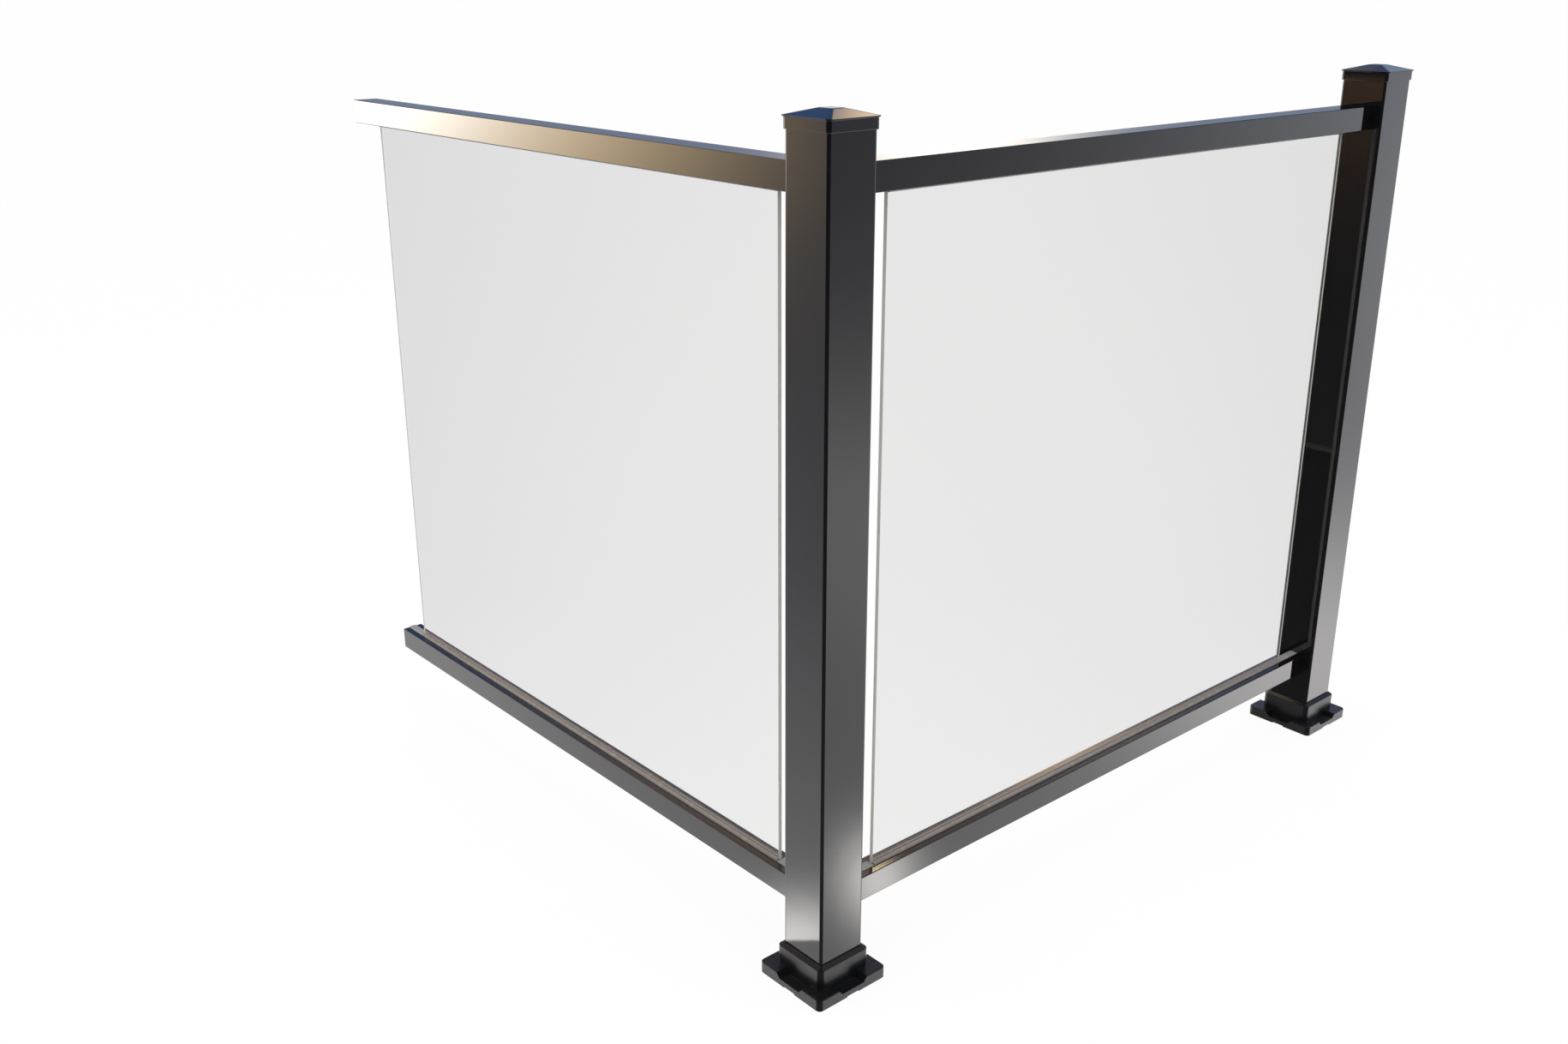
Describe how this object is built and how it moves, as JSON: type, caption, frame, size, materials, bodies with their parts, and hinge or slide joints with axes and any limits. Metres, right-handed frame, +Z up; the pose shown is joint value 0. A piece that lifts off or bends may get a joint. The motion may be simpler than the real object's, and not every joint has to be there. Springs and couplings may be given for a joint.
{
  "type": "glass railing",
  "caption": "Corner section of a low glass railing: square posts on cast bases, flat top and bottom rails, and clear panes held in gaskets, with open gaps beside the posts.",
  "frame": {"origin": "centre of the underside of the corner post's base, on the post's axis", "axes": "+Z up, +X along the right bay from the corner post to the end post, +Y along the left bay to its free rail ends"},
  "size_m": [1.107, 1.0232, 0.9794],
  "materials": {
    "black_coated_aluminium": "gloss",
    "black_coated_casting": "gloss",
    "black_plastic": "gloss",
    "clear_glass": "polished",
    "gasket_rubber": "satin",
    "bare_aluminium": "satin"
  },
  "bodies": {
    "root": {"corner_post": "black_coated_aluminium", "end_post": "black_coated_aluminium", "corner_post_base": "black_coated_casting", "end_post_base": "black_coated_casting", "corner_base_screw_caps": "black_plastic", "end_base_screw_caps": "black_plastic", "corner_post_cap": "black_coated_casting", "end_post_cap": "black_coated_casting", "right_top_rail": "black_coated_aluminium", "right_bottom_rail": "black_coated_aluminium", "left_top_rail": "black_coated_aluminium", "left_bottom_rail": "black_coated_aluminium", "right_glass_pane": "clear_glass", "left_glass_pane": "clear_glass", "right_bottom_gasket": "gasket_rubber", "right_top_gasket": "gasket_rubber", "left_bottom_gasket": "gasket_rubber", "left_top_gasket": "gasket_rubber", "right_bottom_slot_fillers": "gasket_rubber", "right_top_slot_fillers": "gasket_rubber", "left_bottom_slot_fillers": "gasket_rubber", "left_top_slot_fillers": "gasket_rubber", "left_top_end_bracket": "bare_aluminium", "left_bottom_end_bracket": "bare_aluminium"}
  },
  "joints": []
}
